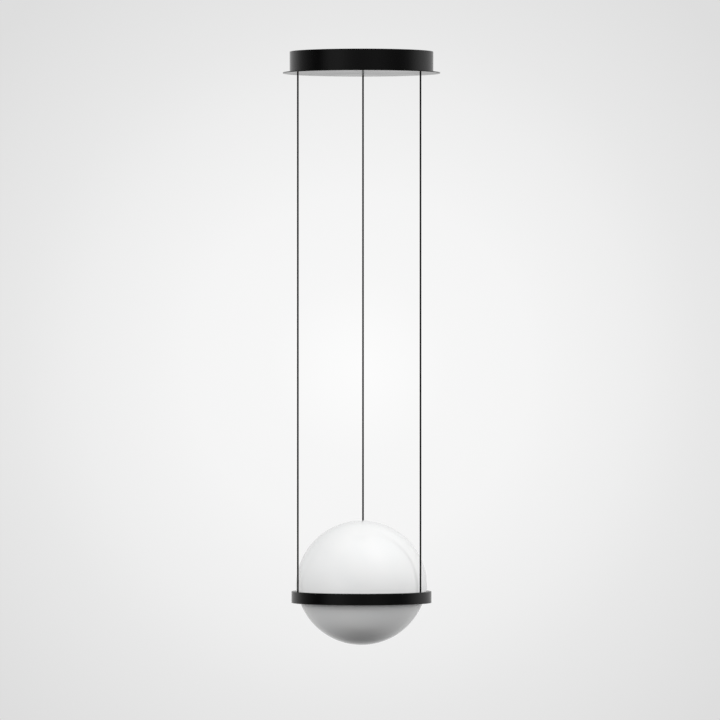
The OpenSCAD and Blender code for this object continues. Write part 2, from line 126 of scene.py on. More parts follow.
# flat sheet between an outer loop and the loops inside it, facing up or down
def sheetWithHoles(loops, up):
    tris = np.array(tessellate_polygon([[Vector(p) for p in loop] for loop in loops]))
    verts = np.concatenate(loops)
    a, b, c = (verts[tris[:, k], :2] for k in range(3))
    area = (b[:, 0] - a[:, 0]) * (c[:, 1] - a[:, 1]) - (b[:, 1] - a[:, 1]) * (c[:, 0] - a[:, 0])
    wrong = (area > 0) != up
    tris[wrong] = tris[wrong][:, ::-1]
    smallest = 1e-9
    return verts, [tris[np.abs(area) > smallest]]


# one mesh from several surfaces given in millimetres
def meshFrom(name, parts):
    verts, faces, start = [], [], 0
    for points, grids in parts:
        for grid in grids:
            faces += (grid + start).tolist()
        verts.append(points)
        start += len(points)
    mesh = bpy.data.meshes.new(name)
    mesh.from_pydata((np.concatenate(verts) * mm).tolist(), [], faces)
    return mesh


joining = {"weld": 2e-6, "sharp": 32.0}


# a finished piece: its surfaces are welded where they meet and smooth up to the sharp angle
def makePiece(name, parts, material, body, node):
    mesh = meshFrom(name, parts)
    work = bmesh.new()
    work.from_mesh(mesh)
    bmesh.ops.remove_doubles(work, verts=work.verts, dist=joining["weld"])
    work.to_mesh(mesh)
    work.free()
    mesh.polygons.foreach_set("use_smooth", np.ones(len(mesh.polygons), bool))
    mesh.set_sharp_from_angle(angle=math.radians(joining["sharp"]))
    mesh.materials.append(material)
    obj = bpy.data.objects.new(name, mesh)
    scene.collection.objects.link(obj)
    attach(obj, body)
    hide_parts(node)
    return obj


def rgb(r, g, b):
    return (r, g, b, 1)


def grey(v):
    return rgb(v, v, v)


# a plain value is set on the socket, another node's output is linked to it
def feed(tree, value, socket):
    if isinstance(value, bpy.types.NodeSocket):
        tree.links.new(value, socket)
    else:
        socket.default_value = value


def addNode(tree, kind, **values):
    node = tree.nodes.new(kind)
    for key, value in values.items():
        if key in node.inputs:
            node.inputs[key].default_value = value
        else:
            setattr(node, key, value)
    return node


def mathNode(tree, op, a, b=None, clamp=False):
    node = addNode(tree, "ShaderNodeMath", operation=op, use_clamp=clamp)
    feed(tree, a, node.inputs[0])
    if b is not None:
        feed(tree, b, node.inputs[1])
    return node.outputs[0]


def times(tree, a, b, clamp=False):
    return mathNode(tree, "MULTIPLY", a, b, clamp)


def plus(tree, a, b, clamp=False):
    return mathNode(tree, "ADD", a, b, clamp)


def minus(tree, a, b):
    return mathNode(tree, "SUBTRACT", a, b)


# the colour sockets of a Mix node share their names with its other kinds, so they go by number
def mixColour(tree, fac, a, b, blend="MIX"):
    node = addNode(tree, "ShaderNodeMix", data_type="RGBA", blend_type=blend)
    for key, value in ((0, fac), (6, a), (7, b)):
        feed(tree, value, node.inputs[key])
    return node.outputs[2]


def vectorNode(tree, op, a, b=None):
    node = addNode(tree, "ShaderNodeVectorMath", operation=op)
    feed(tree, a, node.inputs[0])
    if b is not None:
        feed(tree, b, node.inputs[1])
    return node.outputs["Value" if op in ("DOT_PRODUCT", "LENGTH") else "Vector"]


def noise(tree, vector, scale, detail, rough):
    node = addNode(tree, "ShaderNodeTexNoise", Detail=detail, Roughness=rough)
    feed(tree, vector, node.inputs["Vector"])
    feed(tree, scale, node.inputs["Scale"])
    return node.outputs["Fac"]


# a value between start and end, as one between low and high
def spread(tree, value, low, high, start=0.3, end=0.7):
    node = addNode(tree, "ShaderNodeMapRange", clamp=True)
    ends = {"Value": value, "From Min": start, "From Max": end, "To Min": low, "To Max": high}
    for key, v in ends.items():
        feed(tree, v, node.inputs[key])
    return node.outputs["Result"]


# 0 at start, 1 at end
def climb(tree, value, start=0.3, end=0.7):
    return spread(tree, value, 0.0, 1.0, start, end)


# a group that takes the named values and gives the three things that a finish needs
def newGroup(name, takes):
    tree = bpy.data.node_groups.new(name, "ShaderNodeTree")
    number, vector, colour = "NodeSocketFloat", "NodeSocketVector", "NodeSocketColor"
    for label, value in takes.items():
        kind = number if isinstance(value, float) else vector if len(value) == 3 else colour
        socket = tree.interface.new_socket(label, in_out="INPUT", socket_type=kind)
        socket.default_value = value
    for label, kind in (("Colour", colour), ("Roughness", number), ("Height", number)):
        tree.interface.new_socket(label, in_out="OUTPUT", socket_type=kind)
    return tree, tree.nodes.new("NodeGroupInput").outputs, tree.nodes.new("NodeGroupOutput").inputs


anywhere = (0.0, 0.0, 0.0)

lacquerLook = {"grit": 4200.0, "gritShare": 0.18, "cloud": 9.0, "cloudShade": 0.35,
               "shade": rgb(0.0022, 0.0022, 0.0023), "speck": 900.0, "settle": 3.0,
               "dust": rgb(0.30, 0.29, 0.27), "dustRough": 0.5}


# sprayed lacquer: orange peel in the height, cloudy gloss, and settled dust where it faces up
def lacquerGroup(look):
    tree, take, give = newGroup("lacquerSkin", {
        "Vector": anywhere, "Up": 0.0, "Colour": grey(0.01), "Peel": 420.0, "Gloss": 0.3,
        "Cloud": 0.05, "Dust": 0.1})
    peel = noise(tree, take["Vector"], take["Peel"], detail=1.5, rough=0.4)
    grit = noise(tree, take["Vector"], look["grit"], detail=1.0, rough=0.5)
    cloud = noise(tree, take["Vector"], look["cloud"], detail=3.0, rough=0.55)
    speck = noise(tree, take["Vector"], look["speck"], detail=2.0, rough=0.6)
    rough = spread(tree, cloud, minus(tree, take["Gloss"], take["Cloud"]),
                   plus(tree, take["Gloss"], take["Cloud"]))
    upward = mathNode(tree, "POWER", mathNode(tree, "MAXIMUM", take["Up"], 0.0), look["settle"])
    settled = times(tree, upward, spread(tree, speck, 0.35, 1.0, start=0.4, end=0.65))
    dust = times(tree, settled, take["Dust"], True)
    tone = mixColour(tree, times(tree, cloud, look["cloudShade"]), take["Colour"], look["shade"])
    feed(tree, mixColour(tree, dust, tone, look["dust"]), give["Colour"])
    feed(tree, plus(tree, rough, times(tree, dust, look["dustRough"]), True), give["Roughness"])
    feed(tree, plus(tree, peel, times(tree, grit, look["gritShare"])), give["Height"])
    return tree


opalLook = {"density": 14.0, "densityShare": 0.6, "drawn": (1.0, 1.0, 0.22), "lines": 55.0,
            "haze": 26.0, "wiped": (-0.01, 0.04)}


# blown opal glass: broad density clouds, faint vertical draw lines and wiped-on haze
def opalGroup(look):
    tree, take, give = newGroup("opalBody", {
        "Vector": anywhere, "Colour": grey(0.85), "Thin": rgb(0.8, 0.82, 0.83), "Gloss": 0.16})
    density = noise(tree, take["Vector"], look["density"], detail=3.0, rough=0.5)
    drawn = vectorNode(tree, "MULTIPLY", take["Vector"], look["drawn"])
    lines = noise(tree, drawn, look["lines"], detail=2.0, rough=0.5)
    haze = noise(tree, take["Vector"], look["haze"], detail=4.0, rough=0.6)
    thin = spread(tree, density, 0.0, 0.6, start=0.35, end=0.8)
    feed(tree, mixColour(tree, thin, take["Colour"], take["Thin"]), give["Colour"])
    wiped = spread(tree, haze, *look["wiped"], start=0.3, end=0.75)
    feed(tree, plus(tree, take["Gloss"], wiped), give["Roughness"])
    feed(tree, plus(tree, lines, times(tree, density, look["densityShare"])), give["Height"])
    return tree


metalLook = {"lines": 900.0, "worn": (-0.06, 0.08), "spangle": 260.0, "spangleShare": 0.25,
             "stainShare": 0.6, "stainRough": 0.08}


# worked metal: fine lines along one direction, blotches of tone and gloss
def metalGroup(look):
    tree, take, give = newGroup("workedMetal", {
        "Vector": anywhere, "Lines": (1.0, 1.0, 1.0), "Colour": grey(0.6), "Stain": grey(0.5),
        "Gloss": 0.3, "Blotch": 120.0})
    stretched = vectorNode(tree, "MULTIPLY", take["Vector"], take["Lines"])
    lines = noise(tree, stretched, look["lines"], detail=2.0, rough=0.6)
    blotch = noise(tree, take["Vector"], take["Blotch"], detail=3.0, rough=0.55)
    spangle = addNode(tree, "ShaderNodeTexVoronoi", Scale=look["spangle"])
    feed(tree, take["Vector"], spangle.inputs["Vector"])
    stain = climb(tree, blotch, start=0.4, end=0.75)
    crystal = times(tree, spangle.outputs["Distance"], look["spangleShare"])
    fac = plus(tree, times(tree, stain, look["stainShare"]), crystal, True)
    feed(tree, mixColour(tree, fac, take["Colour"], take["Stain"]), give["Colour"])
    worn = plus(tree, spread(tree, lines, *look["worn"]), times(tree, stain, look["stainRough"]))
    feed(tree, plus(tree, take["Gloss"], worn), give["Roughness"])
    feed(tree, lines, give["Height"])
    return tree


mouldLook = {"flow": 60.0, "grainRough": (-0.05, 0.07)}


# moulded plastic and rubber: a fine etched grain, with slight flow clouds
def mouldGroup(look):
    tree, take, give = newGroup("mouldedSkin", {
        "Vector": anywhere, "Colour": grey(0.8), "Flow": grey(0.7), "Gloss": 0.5, "Grain": 1500.0})
    grain = noise(tree, take["Vector"], take["Grain"], detail=2.0, rough=0.6)
    flow = climb(tree, noise(tree, take["Vector"], look["flow"], detail=2.0, rough=0.5))
    feed(tree, mixColour(tree, flow, take["Colour"], take["Flow"]), give["Colour"])
    feed(tree, plus(tree, take["Gloss"], spread(tree, grain, *look["grainRough"])), give["Roughness"])
    feed(tree, grain, give["Height"])
    return tree


braidLook = {"slant": 0.62, "crown": 0.7, "over": 0.3, "valleyRough": 0.08, "crownGloss": 0.16}


# braided jacket on the piece's own UV map: two sets of strands cross, u round the cable, v along it
def braidGroup(look):
    tree, take, give = newGroup("braidedJacket", {
        "Vector": anywhere, "Strands": 8.0, "Colour": grey(0.015), "Worn": grey(0.05), "Gloss": 0.6})
    sep = addNode(tree, "ShaderNodeSeparateXYZ")
    feed(tree, take["Vector"], sep.inputs[0])
    turn = times(tree, take["Strands"], 2 * math.pi)

    def strand(slant):
        across = plus(tree, sep.outputs["X"], times(tree, sep.outputs["Y"], slant))
        return mathNode(tree, "SINE", times(tree, across, turn))

    left, right = strand(look["slant"]), strand(-look["slant"])
    crown = mathNode(tree, "MAXIMUM", mathNode(tree, "ABSOLUTE", left),
                     mathNode(tree, "ABSOLUTE", right))
    over = times(tree, left, right)
    height = plus(tree, times(tree, crown, look["crown"]), times(tree, over, look["over"]))
    worn = climb(tree, height, start=0.2, end=1.1)
    feed(tree, mixColour(tree, worn, take["Colour"], take["Worn"]), give["Colour"])
    rough = plus(tree, take["Gloss"], look["valleyRough"])
    feed(tree, minus(tree, rough, times(tree, worn, look["crownGloss"])), give["Roughness"])
    feed(tree, height, give["Height"])
    return tree


groups = {"lacquer": lacquerGroup(lacquerLook), "opal": opalGroup(opalLook),
          "metal": metalGroup(metalLook), "mould": mouldGroup(mouldLook),
          "braid": braidGroup(braidLook)}

# each finish: its group and the group's values, the shader's own values, the relief, and the
# CAD nodes that it dresses
finishes = {
    "canopyLacquer": {
        "group": "lacquer", "up": True, "bump": 0.10, "depth": 0.00025,
        "skin": {"Colour": grey(0.0012), "Peel": 380.0, "Gloss": 0.19, "Cloud": 0.03, "Dust": 0.22},
        "shader": {"IOR": 1.5, "Specular IOR Level": 0.2}},
    "ringLacquer": {
        "group": "lacquer", "up": True, "bump": 0.08, "depth": 0.0002,
        "skin": {"Colour": grey(0.0012), "Peel": 520.0, "Gloss": 0.21, "Cloud": 0.03, "Dust": 0.16},
        "shader": {"IOR": 1.5, "Specular IOR Level": 0.168},
        "dresses": ["bowl_collar"]},
    "opalGlass": {
        "group": "opal", "bump": 0.05, "depth": 0.0004,
        "skin": {"Colour": rgb(0.86, 0.862, 0.86), "Thin": rgb(0.82, 0.835, 0.84), "Gloss": 0.03},
        "shader": {"IOR": 1.5}},
    "cableJacket": {
        "group": "braid", "coords": "UV", "bump": 0.25, "depth": 0.0001,
        "skin": {"Colour": grey(0.002), "Worn": grey(0.0045), "Gloss": 0.55},
        "shader": {"IOR": 1.45, "Specular IOR Level": 0.04}},
    "zincSteel": {
        "group": "metal", "bump": 0.12, "depth": 0.00006,
        "skin": {"Lines": (1.0, 0.06, 1.0), "Colour": rgb(0.60, 0.62, 0.65),
                 "Stain": rgb(0.44, 0.46, 0.48), "Gloss": 0.30},
        "shader": {"Metallic": 1.0},
        "dresses": ["ceiling_bracket", "bracket_pillars", "driver_screws", "strain_screws",
                    "clamp_nut_back", "clamp_nut_left", "clamp_nut_right", "carrier_screws",
                    "bayonet_hooks", "hook_screws"]},
    "blackScrew": {
        "group": "lacquer", "bump": 0.2, "depth": 0.00005,
        "skin": {"Colour": grey(0.01), "Peel": 2600.0, "Gloss": 0.36, "Cloud": 0.06, "Dust": 0.0},
        "shader": {"IOR": 1.5, "Specular IOR Level": 0.2},
        "dresses": ["plate_screws", "socket_plugs"]},
    "bareAluminium": {
        "group": "metal", "bump": 0.10, "depth": 0.00006,
        "skin": {"Lines": (1.0, 1.0, 0.05), "Colour": rgb(0.78, 0.79, 0.80),
                 "Stain": rgb(0.62, 0.63, 0.64), "Gloss": 0.34},
        "shader": {"Metallic": 1.0},
        "dresses": ["led_carrier"]},
    "turnedBrass": {
        "group": "metal", "bump": 0.12, "depth": 0.00005,
        "skin": {"Lines": (0.1, 0.1, 1.0), "Colour": rgb(0.74, 0.55, 0.25),
                 "Stain": rgb(0.52, 0.36, 0.16), "Gloss": 0.24, "Blotch": 300.0},
        "shader": {"Metallic": 1.0},
        "dresses": ["terminal_screws", "earth_stud", "earth_lug", "seat_lugs",
                    "seat_back", "seat_left", "seat_right", "ball_back", "ball_left", "ball_right",
                    "end_ball_back", "end_ball_left", "end_ball_right"]},
    "paleNylon": {
        "group": "mould", "bump": 0.12, "depth": 0.00005,
        "skin": {"Colour": rgb(0.76, 0.74, 0.68), "Flow": rgb(0.70, 0.67, 0.60), "Gloss": 0.42},
        "shader": {"IOR": 1.53},
        "dresses": ["terminal_block", "strain_clamp", "liner_back", "liner_left", "liner_right",
                    "socket_sleeves"]},
    "darkNylon": {
        "group": "mould", "bump": 0.12, "depth": 0.00005,
        "skin": {"Colour": grey(0.012), "Flow": grey(0.02), "Gloss": 0.45},
        "shader": {"IOR": 1.53},
        "dresses": ["plate_bushes"]},
    "driverShell": {
        "group": "mould", "bump": 0.25, "depth": 0.00008,
        "skin": {"Colour": rgb(0.80, 0.80, 0.78), "Flow": rgb(0.74, 0.74, 0.71), "Gloss": 0.48,
                 "Grain": 1100.0},
        "shader": {"IOR": 1.55},
        "dresses": ["driver_case", "driver_caps"]},
    "softRubber": {
        "group": "mould", "bump": 0.25, "depth": 0.00008,
        "skin": {"Colour": grey(0.02), "Flow": grey(0.032), "Gloss": 0.68, "Grain": 900.0},
        "shader": {"IOR": 1.5},
        "dresses": ["inlet_grommet"]},
    "clearSilicone": {
        "group": "mould", "bump": 0.2, "depth": 0.00008,
        "skin": {"Colour": rgb(0.72, 0.73, 0.73), "Flow": rgb(0.64, 0.66, 0.66), "Gloss": 0.28,
                 "Grain": 500.0},
        "shader": {"IOR": 1.41},
        "dresses": ["dome_gasket", "bowl_bond"]},
    "stripBoard": {
        "group": "mould", "bump": 0.15, "depth": 0.00004,
        "skin": {"Colour": rgb(0.84, 0.84, 0.82), "Flow": rgb(0.76, 0.75, 0.70), "Gloss": 0.38,
                 "Grain": 2200.0},
        "shader": {"IOR": 1.5},
        "dresses": ["led_strip"]},
    "chipPhosphor": {
        "group": "mould", "bump": 0.15, "depth": 0.00004,
        "skin": {"Colour": rgb(0.86, 0.68, 0.20), "Flow": rgb(0.80, 0.58, 0.12), "Gloss": 0.32,
                 "Grain": 2800.0},
        "shader": {"IOR": 1.5},
        "dresses": ["led_chips"]},
}


# a material: Object or UV coordinates into one group, the group into the shader
def makeFinish(name, look):
    mat = bpy.data.materials.new(name)
    mat.use_nodes = True
    tree = mat.node_tree
    bsdf = tree.nodes["Principled BSDF"]
    for key, value in look["shader"].items():
        bsdf.inputs[key].default_value = value
    coords = addNode(tree, "ShaderNodeTexCoord", name="coords")
    skin = addNode(tree, "ShaderNodeGroup", name="skin", node_tree=groups[look["group"]])
    for key, value in look["skin"].items():
        skin.inputs[key].default_value = value
    feed(tree, coords.outputs[look.get("coords", "Object")], skin.inputs["Vector"])
    if look.get("up"):
        geo = addNode(tree, "ShaderNodeNewGeometry")
        sep = addNode(tree, "ShaderNodeSeparateXYZ")
        feed(tree, geo.outputs["Normal"], sep.inputs[0])
        feed(tree, sep.outputs["Z"], skin.inputs["Up"])
    feed(tree, skin.outputs["Colour"], bsdf.inputs["Base Color"])
    feed(tree, skin.outputs["Roughness"], bsdf.inputs["Roughness"])
    relief = addNode(tree, "ShaderNodeBump", Strength=look["bump"], Distance=look["depth"])
    feed(tree, skin.outputs["Height"], relief.inputs["Height"])
    feed(tree, relief.outputs["Normal"], bsdf.inputs["Normal"])
    return mat


brown, blue = rgb(0.20, 0.075, 0.03), rgb(0.03, 0.10, 0.32)
red, black = rgb(0.42, 0.03, 0.025), rgb(0.03, 0.03, 0.032)
leads = {
    "supplyWire": {"node": "supply_leads", "first": brown, "second": blue,
                   "normal": (-1, 0, 0), "offset": 0.069},
    "outputWire": {"node": "output_leads", "first": black, "second": red,
                   "normal": (1, 1.2, 0), "offset": -0.02},
    "earthWire": {"node": "earth_lead", "first": rgb(0.07, 0.24, 0.05), "second": rgb(0.75, 0.62, 0.05),
                  "normal": (1, 0.7, 0.9), "offset": 0.0, "stripe": 0.006},
    "stripWire": {"node": "strip_leads", "first": red, "second": black,
                  "normal": (-1, 0, 0), "offset": 0.0},
}


# leads: one colour each side of a plane through the pair, or slanting stripes for earth
def makeLead(name, look):
    mat = makeFinish(name, {"group": "mould", "bump": 0.1, "depth": 0.00004, "shader": {"IOR": 1.5},
                            "skin": {"Colour": look["first"], "Flow": look["first"], "Gloss": 0.4}})
    tree = mat.node_tree
    way = vectorNode(tree, "DOT_PRODUCT", tree.nodes["coords"].outputs["Object"], look["normal"])
    place = minus(tree, way, look["offset"])
    if "stripe" in look:
        place = mathNode(tree, "SINE", times(tree, place, 2 * math.pi / look["stripe"]))
    side = mathNode(tree, "GREATER_THAN", place, 0.0)
    colour = mixColour(tree, side, tree.nodes["skin"].outputs["Colour"], look["second"])
    feed(tree, colour, tree.nodes["Principled BSDF"].inputs["Base Color"])
    return mat


def dress(name, material):
    slots = nodes[name].data.materials
    slots.clear()
    slots.append(material)


materials = {name: makeFinish(name, look) for name, look in finishes.items()}
for name, look in finishes.items():
    for node in look.get("dresses", []):
        dress(node, materials[name])
for name, look in leads.items():
    dress(look["node"], makeLead(name, look))
print("finishes:", len(finishes) + len(leads))


# offsets ease the jacket's two ends and the core's tip, as (radius, height) from the sharp corner
cableForm = {"out": 155.5, "round": 2.0, "core": 0.8, "top": -14.0, "low": -1236.8, "tip": -1242.5,
             "exit": -40.0, "sides": 20, "rows": 240, "margin": 0.5, "pathPoints": 60,
             "tipEase": [(-0.15, 0.0), (0.0, 0.2)], "step": 0.05,
             "lowEase": [(-0.35, 0.0), (-0.1, 0.1), (0.0, 0.35)],
             "topEase": [(0.0, -0.3), (-0.12, -0.08), (-0.4, 0.0)],
             "at": {"back": 88.7, "left": 201.2, "right": 329.65}}


# where a cable stands: out (cos a, sin a)
def cableSpot(side):
    a = math.radians(cableForm["at"][side])
    return cableForm["out"] * math.cos(a), cableForm["out"] * math.sin(a)


# u is the angle round the cable in full turns, v the height in circumferences
def wrapUv(mesh, x, y, r):
    co = np.empty(len(mesh.vertices) * 3)
    mesh.vertices.foreach_get("co", co)
    co = co.reshape(-1, 3)
    loops = np.empty(len(mesh.loops), int)
    mesh.loops.foreach_get("vertex_index", loops)
    u = np.arctan2(co[:, 1] - y * mm, co[:, 0] - x * mm) / (2 * math.pi)
    uv = np.stack([u[loops], co[loops, 2] / (2 * math.pi * r * mm)], -1)
    first = np.empty(len(mesh.polygons), int)
    mesh.polygons.foreach_get("loop_start", first)
    lead = np.repeat(uv[first, 0], np.diff(np.append(first, len(loops))))
    uv[:, 0] += np.round(lead - uv[:, 0])   # keeps a face on one side of the seam
    mesh.uv_layers.new(name="UVMap").data.foreach_set("uv", uv.ravel())


# a circle carried down a straight line; its radius drops from jacket to core near the lower end
def makeCable(side, f):
    r, core = f["round"], f["core"]
    z = np.linspace(f["low"] + f["margin"], f["top"] - f["margin"], f["rows"])
    profile = np.vstack([
        [[0, f["tip"]]],
        np.array([core, f["tip"]]) + f["tipEase"],
        [[core, f["low"] + f["step"]]],
        np.array([r, f["low"]]) + f["lowEase"],
        np.stack([np.full(len(z), r), z], -1),
        np.array([r, f["top"]]) + f["topEase"],
        [[0, f["top"]]]])
    x, y = cableSpot(side)
    surface = turned(profile, fullTurn(f["sides"]), centre=(x, y))
    obj = makePiece("cable_jacket_" + side, [surface], materials["cableJacket"], side + "_cable",
                    "cable_" + side)
    obj.visible_diffuse = False   # opal glass carries light sideways, so a thin cable hardly dims it
    wrapUv(obj.data, x, y, r)


for side in cableForm["at"]:
    makeCable(side, cableForm)
print("cables hung")


drumForm = {"outer": 164.25, "inner": 162.75, "low": -47.5, "high": 0.0, "count": 288,
            "lowEdge": 0.2, "outerEdge": 0.5, "innerEdge": 0.4, "bendSteps": 6, "hold": 0.12,
            "seamAt": 90.0, "seamDeep": 0.22, "seamWide": 0.9, "seamReach": 3, "seamRows": 25,
            "dipFrom": 0.35}


# rolled drum: a thin closed section turned about the axis, its outer wall dipped along one welded
# seam by deep exp(-(distance / wide)^2)
def makeDrum(f):
    def corner(r, z, ease, start):
        return quarterBend((r, z), ease, start, f["bendSteps"], f["hold"], f["hold"])

    low, edge, lip = f["lowEdge"], f["outerEdge"], f["innerEdge"]
    section = np.concatenate([
        corner(f["inner"] + low, f["low"] + low, low, 180),
        corner(f["outer"] - low, f["low"] + low, low, 270),
        corner(f["outer"] - edge, f["high"] - edge, edge, 0),
        corner(f["inner"] + lip, f["high"] - lip, lip, 90)])
    seam = math.radians(f["seamAt"])
    near = np.linspace(-f["seamReach"], f["seamReach"], f["seamRows"]) * f["seamWide"] / f["outer"]
    angles = np.unique(np.round(np.concatenate([fullTurn(f["count"]), seam + near]), 7))
    verts, faces = turned(section, angles, wrap=True)
    grid = verts.reshape(len(section), len(angles), 3)
    dip = f["seamDeep"] * np.exp(-((angles - seam) * f["outer"] / f["seamWide"]) ** 2)
    wall = (section[:, 0] > f["outer"] - f["dipFrom"])[:, None]
    grid[..., :2] *= (1 - wall * dip / f["outer"])[..., None]
    makePiece("drum_shell", [(grid.reshape(-1, 3), faces)], materials["canopyLacquer"], "canopy",
              "canopy_drum")


plateForm = {"outer": 180.0, "low": -49.5, "high": -47.5, "edge": 0.2, "count": 288,
             "bendSteps": 7, "hold": 0.12, "cableHole": 6.15, "holeEase": 0.25, "holeCount": 40,
             "screwHole": 2.05, "sink": 4.25, "sinkDeep": 1.8, "sinkStep": 0.03, "sinkLip": 0.05,
             "screwOut": 144.0, "screwAt": (144.95, 265.425, 29.175)}


# round plate: a rolled rim, holes whose edges are eased, and two flat sheets cut round them
def makePlate(f):
    turn, small = fullTurn(f["count"]), fullTurn(f["holeCount"])
    low, high, edge = f["low"], f["high"], f["edge"]
    ease, hold, steps = f["holeEase"], f["hold"], f["bendSteps"]
    rim = np.concatenate([
        quarterBend((f["outer"] - edge, low + edge), edge, 270, steps, before=hold),
        quarterBend((f["outer"] - edge, high - edge), edge, 0, steps, after=hold)])
    parts = [turned(rim, turn)]
    top = [circle((0, 0), rim[-1, 0], high, turn)]
    under = [circle((0, 0), rim[0, 0], low, turn)]

    def pierce(centre, wall):
        parts.append(turned(wall, small, centre=centre))
        top.append(circle(centre, wall[0, 0], high, small))
        under.append(circle(centre, wall[-1, 0], low, small))

    bend = f["cableHole"] + ease
    cableWall = np.concatenate([
        quarterBend((bend, high - ease), ease, 90, steps, before=hold),
        quarterBend((bend, low + ease), ease, 180, steps, after=hold)])
    for side in cableForm["at"]:
        pierce(cableSpot(side), cableWall)
    lip = f["sink"] + f["sinkLip"]
    screwWall = np.array([
        [f["screwHole"] + hold, high], [f["screwHole"], high], [f["screwHole"], low + f["sinkDeep"]],
        [f["sink"], low + f["sinkStep"]], [lip, low], [lip + hold, low]])
    for a in np.radians(f["screwAt"]):
        pierce((f["screwOut"] * math.cos(a), f["screwOut"] * math.sin(a)), screwWall)
    parts += [sheetWithHoles(top, True), sheetWithHoles(under, False)]
    makePiece("plate_disc", parts, materials["canopyLacquer"], "canopy", "canopy_plate")


makeDrum(drumForm)
makePlate(plateForm)
print("canopy made")


ringForm = {"outer": 160.0, "inner": 150.7, "top": -1233.5, "low": -1259.7, "count": 320,
            "ledgeIn": 140.186, "ledgeTop": -1241.5, "ledgeLow": -1244.5,
            "edge": 0.6, "lip": 0.3, "bendSteps": 8, "hold": 0.05, "wallHold": 0.3,
            "entry": 3.3, "entryEase": 0.35, "bore": 3.65, "boreTop": -1237.5, "holeCount": 40}


# ring: an outer wall and a stepped inner wall turned about the axis, bored through beside the glass
# for each cable, with the top and bottom rims cut round the bores
def makeRing(f):
    turn, small = fullTurn(f["count"]), fullTurn(f["holeCount"])
    edge, lip, ease = f["edge"], f["lip"], f["entryEase"]
    hold, steps = f["hold"], f["bendSteps"]
    outer = np.concatenate([
        quarterBend((f["outer"] - edge, f["low"] + edge), edge, 270, steps, hold, f["wallHold"]),
        quarterBend((f["outer"] - edge, f["top"] - edge), edge, 0, steps, f["wallHold"], hold)])
    inner = np.concatenate([
        quarterBend((f["inner"] + lip, f["top"] - lip), lip, 90, steps, before=hold),
        [[f["inner"], f["ledgeTop"]], [f["ledgeIn"], f["ledgeTop"]],
         [f["ledgeIn"], f["ledgeLow"]], [f["inner"], f["ledgeLow"]]],
        quarterBend((f["inner"] + lip, f["low"] + lip), lip, 180, steps, after=hold)])
    bore = np.concatenate([
        quarterBend((f["entry"] + ease, f["top"] - ease), ease, 90, steps, before=hold),
        [[f["entry"], f["boreTop"]], [f["bore"], f["boreTop"]], [f["bore"], f["low"]]]])
    parts = [turned(outer, turn), turned(inner, turn)]
    top = [circle((0, 0), r, f["top"], turn) for r in (outer[-1, 0], inner[0, 0])]
    under = [circle((0, 0), r, f["low"], turn) for r in (outer[0, 0], inner[-1, 0])]
    for side in cableForm["at"]:
        spot = cableSpot(side)
        parts.append(turned(bore, small, centre=spot))
        top.append(circle(spot, bore[0, 0], f["top"], small))
        under.append(circle(spot, bore[-1, 0], f["low"], small))
    parts += [sheetWithHoles(top, True), sheetWithHoles(under, False)]
    makePiece("ring_shell", parts, materials["ringLacquer"], "head", "ring_band")


# way is 1 for a half that opens downwards, -1 for one that opens upwards
globeForm = {"outer": 150.0, "inner": 146.0, "polish": 1.3, "flatShare": 0.9, "bendSteps": 8,
             "rows": 96, "crowd": 1.35, "count": 224,
             "dome": {"mid": -1221.5, "rim": -1239.5, "way": 1, "body": "head"},
             "bowl": {"mid": -1206.0, "rim": -1250.5, "way": -1, "body": "bowl"}}


# part of a hollow sphere: r = R cos e, z = mid + way R sin e over elevation e from the rim to the pole,
# outside and inside, joined by a fire-polished rim; the rows crowd towards the pole
def makeGlass(half, f):
    mid, way = f[half]["mid"], f[half]["way"]
    rise = (f[half]["rim"] - mid) * way
    polish = f["polish"]
    spaced = 1 - (1 - np.linspace(0, 1, f["rows"])) ** f["crowd"]

    def arc(r):
        rim = math.asin(rise / r)
        start = rim + polish / r
        e = start + (math.pi / 2 - start) * spaced
        return r * np.stack([np.cos(e), np.sin(e)], -1), np.array([r * math.cos(rim), rise])

    outside, cornerOut = arc(f["outer"])
    inside, cornerIn = arc(f["inner"])
    flatIn = np.array([inside[0, 0] + polish * f["flatShare"], rise])
    flatOut = np.array([outside[0, 0] - polish * f["flatShare"], rise])
    t = np.linspace(0, 1, f["bendSteps"])[1:-1, None]

    # quadratic curve from a to b that leans to the cut's sharp corner
    def bend(a, corner, b):
        return (1 - t) ** 2 * a + 2 * t * (1 - t) * corner + t ** 2 * b

    profile = np.vstack([inside[::-1], bend(inside[0], cornerIn, flatIn), [flatIn, flatOut],
                         bend(flatOut, cornerOut, outside[0]), outside])
    profile[[0, -1], 0] = 0.0
    profile[:, 1] = mid + way * profile[:, 1]
    makePiece(half + "_shell", [turned(profile[::way], fullTurn(f["count"]))], materials["opalGlass"],
              f[half]["body"], half + "_glass")


makeRing(ringForm)
makeGlass("dome", globeForm)
makeGlass("bowl", globeForm)
print("ring and globe made")


lights = {"aim": (0.0, 0.0, -1.2215),
          "keySoftbox": {"way": (0.66, 0.0, 0.75), "away": 3.2, "size": 0.5, "power": 25.7},
          "fillSoftbox": {"way": (-0.28, -0.76, 0.58), "away": 3.2, "size": 1.9, "power": 30.4}}


# round area lamp that only lights: the camera and the gloss see the studio instead
def makeLight(name, aim, f):
    data = bpy.data.lights.new(name, "AREA")
    data.shape, data.size, data.energy = "DISK", f["size"], f["power"]
    lamp = bpy.data.objects.new(name, data)
    scene.collection.objects.link(lamp)
    lamp.location = Vector(aim) + Vector(f["way"]) * f["away"]
    lamp.rotation_euler = facing(lamp.location, aim)
    lamp.visible_camera = False
    lamp.visible_glossy = False


for name in ("keySoftbox", "fillSoftbox"):
    makeLight(name, lights["aim"], lights[name])

